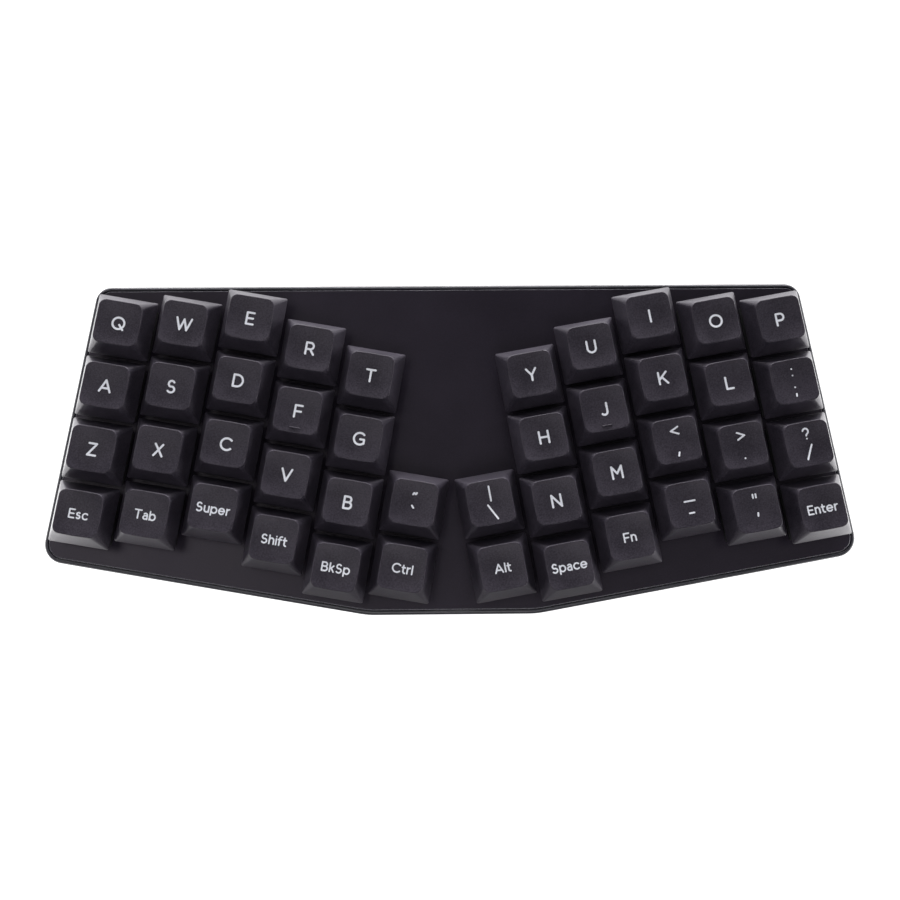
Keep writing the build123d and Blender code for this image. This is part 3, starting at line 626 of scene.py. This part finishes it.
def finish(
    name, dark, light, grain, roughness, relief,
    metallic=0.0, coat=0.0, patch=9.0 * mm, specular=0.5, tint_specular=(1.0, 1.0, 1.0),
):
    """A surface whose colour, gloss and relief follow fine grain and slow patches.

    The grain and the patch are sizes in metres. Roughness is its lowest and highest value.
    """
    material = bpy.data.materials.new(name)
    material.use_nodes = True
    nodes, links = material.node_tree.nodes, material.node_tree.links
    shader = nodes["Principled BSDF"]
    shader.inputs["Metallic"].default_value = metallic
    shader.inputs["Specular IOR Level"].default_value = specular
    shader.inputs["Specular Tint"].default_value = (*tint_specular, 1.0)
    shader.inputs["Coat Weight"].default_value = coat
    shader.inputs["Coat Roughness"].default_value = COAT_ROUGHNESS

    place = nodes.new("ShaderNodeTexCoord")
    info = nodes.new("ShaderNodeObjectInfo")
    shift = nodes.new("ShaderNodeVectorMath")
    shift.operation = "ADD"
    links.new(place.outputs["Object"], shift.inputs[0])
    links.new(info.outputs["Random"], shift.inputs[1])

    fine = noise(nodes, links, shift.outputs["Vector"], grain, FINE_DETAIL)
    slow = noise(nodes, links, shift.outputs["Vector"], patch, SLOW_DETAIL)
    slow_part = combine(nodes, links, "MULTIPLY", slow, 1 - FINE_SHARE)
    blend = combine(nodes, links, "MULTIPLY_ADD", fine, FINE_SHARE, slow_part)

    tint = nodes.new("ShaderNodeValToRGB")
    for stop, position, shade in zip(tint.color_ramp.elements, TINT_SPAN, (dark, light)):
        stop.position = position
        stop.color = colour(*shade)
    links.new(blend, tint.inputs["Fac"])
    links.new(tint.outputs["Color"], shader.inputs["Base Color"])
    gloss = level(nodes, links, blend, GLOSS_SPAN, roughness, "LINEAR")
    links.new(gloss, shader.inputs["Roughness"])

    bump = nodes.new("ShaderNodeBump")
    bump.inputs["Distance"].default_value = relief
    bump.inputs["Strength"].default_value = 1.0
    links.new(fine, bump.inputs["Height"])
    links.new(bump.outputs["Normal"], shader.inputs["Normal"])
    return material


def wear_and_highlight_edges(material, bare, beads):
    """Shows bare metal in beads of a size in metres where a surface slants up, as on a chamfer: part
    wear, part painted highlight that makes the chamfer a bright line.

    The front gets more of it than the back, a painted highlight along the front edge.
    """
    nodes, links = material.node_tree.nodes, material.node_tree.links
    shader = nodes["Principled BSDF"]
    painted = shader.inputs["Base Color"].links[0].from_socket
    geometry = nodes.new("ShaderNodeNewGeometry")
    axes = nodes.new("ShaderNodeSeparateXYZ")
    links.new(geometry.outputs["Normal"], axes.inputs[0])
    not_wall = level(nodes, links, axes.outputs["Z"], SLANT_ABOVE_WALL, (0, 1))
    not_flat = level(nodes, links, axes.outputs["Z"], SLANT_BELOW_FLAT, (1, 0))
    slant = combine(nodes, links, "MULTIPLY", not_wall, not_flat)

    place = nodes.new("ShaderNodeTexCoord")
    bead = noise(nodes, links, place.outputs["Object"], beads, SLOW_DETAIL)
    beaded = level(nodes, links, bead, WEAR_SPAN, (LEAST_WEAR, 1))
    # Painted highlight: more bare metal towards the front edge than the back.
    position = nodes.new("ShaderNodeSeparateXYZ")
    links.new(place.outputs["Object"], position.inputs[0])
    front_highlight = level(nodes, links, position.outputs["Y"], HIGHLIGHT_FADE_SPAN, (1, BACK_HIGHLIGHT_SHARE))
    beads_and_highlight = combine(nodes, links, "MULTIPLY", beaded, front_highlight)
    share = combine(nodes, links, "MULTIPLY", slant, beads_and_highlight)

    mix = nodes.new("ShaderNodeMix")
    mix.data_type = "RGBA"
    links.new(share, mix.inputs["Factor"])
    links.new(painted, mix.inputs["A"])
    mix.inputs["B"].default_value = colour(*bare)
    links.new(mix.outputs["Result"], shader.inputs["Base Color"])
    links.new(share, shader.inputs["Metallic"])


def paint(node, material):
    """Gives a CAD node's object one material in place of its own."""
    for slot in frame["nodes"][node].material_slots:
        slot.material = material


# Each piece's finish
keycap_plastic = finish(
    "keycap_plastic", (35, 32, 40), (55, 51, 60), 0.42 * mm, (0.38, 0.5), 0.035 * mm,
    patch=8.0 * mm, specular=0.3, tint_specular=(0.98, 0.92, 1.0),
)
legend_print = finish(
    "legend_print", (226, 228, 238), (238, 240, 247), 0.25 * mm, (0.45, 0.55), 0.004 * mm
)
stem_plastic = finish("stem_plastic", (104, 62, 40), (118, 72, 48), 0.3 * mm, (0.3, 0.38), 0.002 * mm)
spring_steel = finish(
    "spring_steel", (150, 150, 148), (182, 182, 180), 0.1 * mm, (0.2, 0.3), 0.001 * mm, metallic=1.0
)

NODE_FINISHES = {
    "top_plate": finish(
        "plate_metal", (19, 15, 25), (28, 23, 35), 0.3 * mm, (0.34, 0.42), 0.008 * mm,
        patch=22.0 * mm, specular=0.35, tint_specular=(0.98, 0.9, 1.0),
    ),
    "bottom_case": finish(
        "case_plastic", (27, 26, 35), (37, 35, 47), 0.22 * mm, (0.38, 0.48), 0.003 * mm,
        patch=18.0 * mm, specular=0.6,
    ),
    "rubber_feet": finish("foot_rubber", (34, 34, 35), (46, 46, 47), 0.2 * mm, (0.75, 0.9), 0.015 * mm),
    "switch_lower_housings": finish(
        "switch_plastic", (20, 20, 22), (28, 28, 30), 0.25 * mm, (0.5, 0.62), 0.003 * mm, specular=0.3
    ),
    "switch_contacts": finish(
        "contact_metal", (196, 150, 92), (220, 176, 112), 0.15 * mm, (0.22, 0.34), 0.001 * mm,
        metallic=1.0,
    ),
    "hot_swap_sockets": finish(
        "socket_plastic", (26, 26, 28), (36, 36, 38), 0.3 * mm, (0.45, 0.6), 0.004 * mm
    ),
    "switch_diodes": finish(
        "diode_plastic", (24, 24, 26), (40, 40, 42), 0.25 * mm, (0.4, 0.55), 0.003 * mm
    ),
    "circuit_board": finish(
        "board_laminate", (14, 20, 16), (22, 32, 25), 0.3 * mm, (0.25, 0.35), 0.004 * mm, coat=0.4
    ),
    "controller_electronics": finish(
        "chip_plastic", (30, 30, 32), (48, 48, 50), 0.2 * mm, (0.45, 0.6), 0.004 * mm
    ),
    "plate_standoffs": finish(
        "standoff_brass", (188, 158, 92), (208, 180, 112), 0.2 * mm, (0.25, 0.36), 0.002 * mm,
        metallic=1.0,
    ),
    "case_screws": finish(
        "screw_steel", (52, 52, 54), (74, 74, 76), 0.15 * mm, (0.3, 0.42), 0.002 * mm, metallic=1.0
    ),
    "usb_receptacle": finish(
        "usb_steel", (150, 151, 154), (186, 187, 190), 0.2 * mm, (0.22, 0.34), 0.002 * mm, metallic=1.0
    ),
    "reset_switch_body": finish(
        "reset_metal", (150, 150, 152), (178, 178, 180), 0.2 * mm, (0.3, 0.4), 0.002 * mm
    ),
    "reset_plunger": finish(
        "reset_plastic", (30, 30, 32), (44, 44, 46), 0.2 * mm, (0.4, 0.5), 0.003 * mm
    ),
}
NODE_FINISHES["switch_upper_housings"] = NODE_FINISHES["switch_lower_housings"]
# Bare metal on the plate's chamfer, part wear and part painted highlight, more at the front.
wear_and_highlight_edges(NODE_FINISHES["top_plate"], (225, 223, 234), 0.35 * mm)
for node, material in NODE_FINISHES.items():
    paint(node, material)


# Pieces that stand for the CAD keys and springs

def add_piece(name, mesh, material, place, body):
    """One piece at a key's place, riding on a body."""
    if not mesh.materials:
        mesh.materials.append(material)
    piece = bpy.data.objects.new(name, mesh)
    piece.matrix_world = place
    bpy.context.scene.collection.objects.link(piece)
    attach(piece, body)
    return piece


cap_mesh = keycap_mesh()
slider_mesh = stem_mesh("q")
bar_mesh = homing_bar_mesh()
coil_mesh = spring_mesh()


def dress_key(key):
    """The keycap, stem, lettering and homing bar of one key, and its spring, which stays on the base."""
    body = "key_" + key
    place = key_matrix(key)
    cap = add_piece("keycap_" + key, cap_mesh, keycap_plastic, place, body)
    stem = add_piece("stem_" + key, slider_mesh, stem_plastic, place, body)
    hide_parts(body)
    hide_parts(body)
    add_piece("legend_" + key, legend_mesh(key), legend_print, place, body)
    if key in HOMING_KEYS:
        add_piece("homing_bar_" + key, bar_mesh, keycap_plastic, place, body)
    spring = add_piece("spring_" + key, coil_mesh, spring_steel, place, "keyboard_base")
    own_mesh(spring)
    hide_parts("switch_springs")


for key in key_names():
    dress_key(key)


# Floor, world and light

def painted_floor_reflection(nodes, links):
    """How strongly the floor shows in reflections, by its place, with a painted shadow of the keyboard
    in front of it and painted light in a strip on each side.
    """
    place = nodes.new("ShaderNodeTexCoord")
    shift = nodes.new("ShaderNodeVectorMath")
    shift.operation = "SUBTRACT"
    shift.inputs[1].default_value = (*FLOOR_PAINTED_SHADOW_MIDDLE, 0)
    links.new(place.outputs["Object"], shift.inputs[0])
    scale = nodes.new("ShaderNodeVectorMath")
    scale.operation = "MULTIPLY"
    scale.inputs[1].default_value = (1 / FLOOR_PAINTED_SHADOW_REACH[0], 1 / FLOOR_PAINTED_SHADOW_REACH[1], 0)
    links.new(shift.outputs[0], scale.inputs[0])
    reach = nodes.new("ShaderNodeVectorMath")
    reach.operation = "LENGTH"
    links.new(scale.outputs[0], reach.inputs[0])
    # A painted shadow of the keyboard: the reflected glow drops in an oval in front of it.
    levels = (FLOOR_PAINTED_SHADOW_GLOW, FLOOR_GLOW_REFLECTED)
    wide = level(nodes, links, reach.outputs["Value"], FLOOR_PAINTED_SHADOW_FADE, levels)

    # Painted light: a brighter strip of reflected glow on each side of the keyboard.
    axes = nodes.new("ShaderNodeSeparateXYZ")
    links.new(place.outputs["Object"], axes.inputs[0])
    aside = combine(nodes, links, "ABSOLUTE", axes.outputs["X"])
    rise = level(nodes, links, aside, FLOOR_PAINTED_LIGHT_INNER, (0, FLOOR_PAINTED_LIGHT_GLOW))
    fall = level(nodes, links, aside, FLOOR_PAINTED_LIGHT_OUTER, (1, 0))
    strip = combine(nodes, links, "MULTIPLY", rise, fall)
    return combine(nodes, links, "ADD", wide, strip)


def make_floor():
    """A white sheet that the camera sees lit from within, and that keeps the shadow."""
    mesh = bpy.data.meshes.new("floor")
    corners = [(x * FLOOR_REACH, y * FLOOR_REACH, 0) for x, y in ((-1, -1), (1, -1), (1, 1), (-1, 1))]
    mesh.from_pydata(corners, [], [(0, 1, 2, 3)])
    floor = bpy.data.objects.new("floor", mesh)
    floor.location.z = -FLOOR_DROP
    bpy.context.scene.collection.objects.link(floor)
    material = bpy.data.materials.new("floor_white")
    material.use_nodes = True
    nodes, links = material.node_tree.nodes, material.node_tree.links
    nodes.clear()
    paper = nodes.new("ShaderNodeBsdfDiffuse")
    paper.inputs["Color"].default_value = FLOOR_PAPER
    path = nodes.new("ShaderNodeLightPath")
    seen = combine(nodes, links, "MULTIPLY", path.outputs["Is Camera Ray"], FLOOR_GLOW_SEEN)
    rays = (path.outputs["Is Glossy Ray"], path.outputs["Is Transmission Ray"])
    mirrored = combine(nodes, links, "MAXIMUM", *rays)
    # Only in reflections the floor's glow holds the painted shadow in front of the keyboard and the
    # painted light strips beside it.
    shown = combine(nodes, links, "MULTIPLY", mirrored, painted_floor_reflection(nodes, links))
    strength = combine(nodes, links, "ADD", seen, shown)
    glow = nodes.new("ShaderNodeEmission")
    links.new(strength, glow.inputs["Strength"])
    both = nodes.new("ShaderNodeAddShader")
    links.new(paper.outputs[0], both.inputs[0])
    links.new(glow.outputs[0], both.inputs[1])
    out = nodes.new("ShaderNodeOutputMaterial")
    links.new(both.outputs[0], out.inputs["Surface"])
    mesh.materials.append(material)


def make_world():
    """A dim even room, white where the camera sees past the floor."""
    world = bpy.data.worlds.new("studio")
    bpy.context.scene.world = world
    world.use_nodes = True
    nodes, links = world.node_tree.nodes, world.node_tree.links
    nodes.clear()
    room = nodes.new("ShaderNodeBackground")
    room.inputs["Color"].default_value = ROOM_TINT
    room.inputs["Strength"].default_value = ROOM_LIGHT
    white = nodes.new("ShaderNodeBackground")
    white.inputs["Strength"].default_value = 1.0
    path = nodes.new("ShaderNodeLightPath")
    mix = nodes.new("ShaderNodeMixShader")
    links.new(path.outputs["Is Camera Ray"], mix.inputs["Fac"])
    links.new(room.outputs[0], mix.inputs[1])
    links.new(white.outputs[0], mix.inputs[2])
    out = nodes.new("ShaderNodeOutputWorld")
    links.new(mix.outputs[0], out.inputs["Surface"])


def soft_light(name, azimuth, elevation, distance, width, height, brightness):
    """A rectangular soft light that looks at the keyboard."""
    turn, lift = radians(azimuth), radians(elevation)
    spot = Vector((sin(turn) * cos(lift), cos(turn) * cos(lift), sin(lift))) * distance
    data = bpy.data.lights.new(name, "AREA")
    data.shape = "RECTANGLE"
    data.size = width
    data.size_y = height
    data.energy = brightness * pi * width * height
    lamp = bpy.data.objects.new(name, data)
    lamp.location = spot
    lamp.rotation_euler = (-spot).to_track_quat("-Z", "Y").to_euler()
    bpy.context.scene.collection.objects.link(lamp)


def make_lights():
    """All the soft lights."""
    for name, values in LIGHTS.items():
        soft_light(name, *values)


def make_camera():
    """The photograph's view from above."""
    data = bpy.data.cameras.new("camera")
    data.sensor_width = CAMERA_SENSOR
    data.lens = CAMERA_LENS
    data.clip_start = CAMERA_NEAR
    camera = bpy.data.objects.new("camera", data)
    camera.location = CAMERA_PLACE
    camera.rotation_euler = Euler([radians(turn) for turn in CAMERA_TURNS], "XYZ")
    bpy.context.scene.collection.objects.link(camera)
    bpy.context.scene.camera = camera


make_floor()
make_world()
make_lights()
make_camera()
bpy.context.scene.view_settings.view_transform = "Standard"
